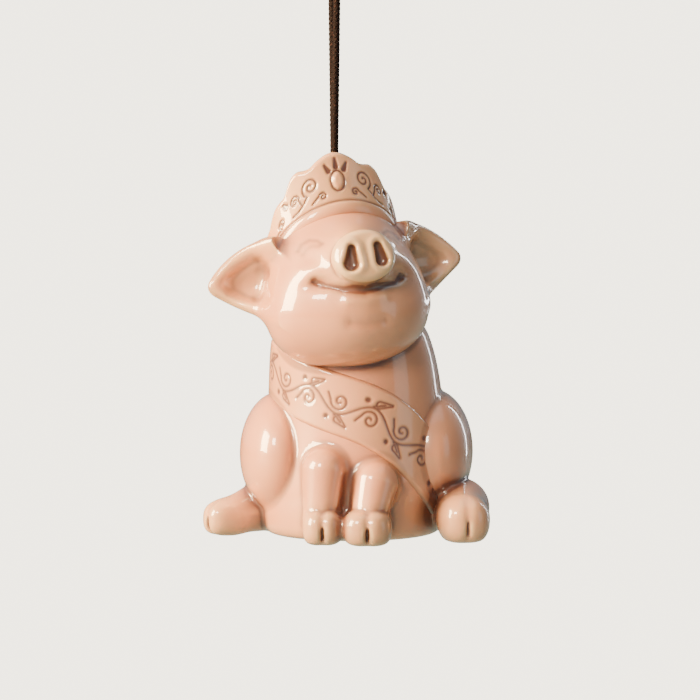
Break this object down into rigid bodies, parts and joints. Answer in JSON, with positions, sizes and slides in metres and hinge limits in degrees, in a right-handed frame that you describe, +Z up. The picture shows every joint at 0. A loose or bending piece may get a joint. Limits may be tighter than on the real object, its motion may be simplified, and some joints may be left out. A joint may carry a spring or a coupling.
{
  "type": "hanging pig ornament",
  "caption": "Hollow-cast glazed clay pig that sits up in a tiara and a sash and hangs by a doubled braided cord.",
  "frame": {"origin": "inside top of the cord's loop, where a hook or peg holds it", "axes": "+Z up, +X to the pig's own left, -Y ahead, the way the pig faces"},
  "size_m": [0.0635, 0.0568, 0.1233],
  "materials": {
    "glazed_body": "clear glossy glaze over peach-pink clay colour, browner in the creases and paler on the edges",
    "glazed_tiara": "clear glossy glaze over a slightly deeper pink, with incised brown scrolls",
    "glazed_sash": "clear glossy glaze over peach pink, with an incised brown vine",
    "braided_cord": "dark brown braided cord with a soft sheen"
  },
  "bodies": {
    "loop_top": {"cord_bight": "braided_cord"},
    "strands": {"cord_strands": "braided_cord"},
    "figure": {"torso": "glazed_body", "head": "glazed_body", "snout": "glazed_body", "left_ear": "glazed_body", "right_ear": "glazed_body", "tiara": "glazed_tiara", "tiara_band": "glazed_tiara", "sash": "glazed_sash", "left_haunch": "glazed_body", "right_haunch": "glazed_body", "left_hind_foot": "glazed_body", "right_hind_foot": "glazed_body", "left_foreleg": "glazed_body", "right_foreleg": "glazed_body", "left_fore_trotter": "glazed_body", "right_fore_trotter": "glazed_body", "tail": "glazed_body", "cord_tail": "braided_cord", "cord_knot": "braided_cord"}
  },
  "joints": [
    {"name": "cord_turn", "type": "hinge", "parent": "loop_top", "child": "strands", "pos_m": [0, 0, -0.0052], "axis": [0, 0, 1], "range_deg": [-180, 180]},
    {"name": "figure_swing", "type": "hinge", "parent": "strands", "child": "figure", "pos_m": [0, 0, -0.0474], "axis": [1, 0, 0], "range_deg": [-10, 80]}
  ]
}
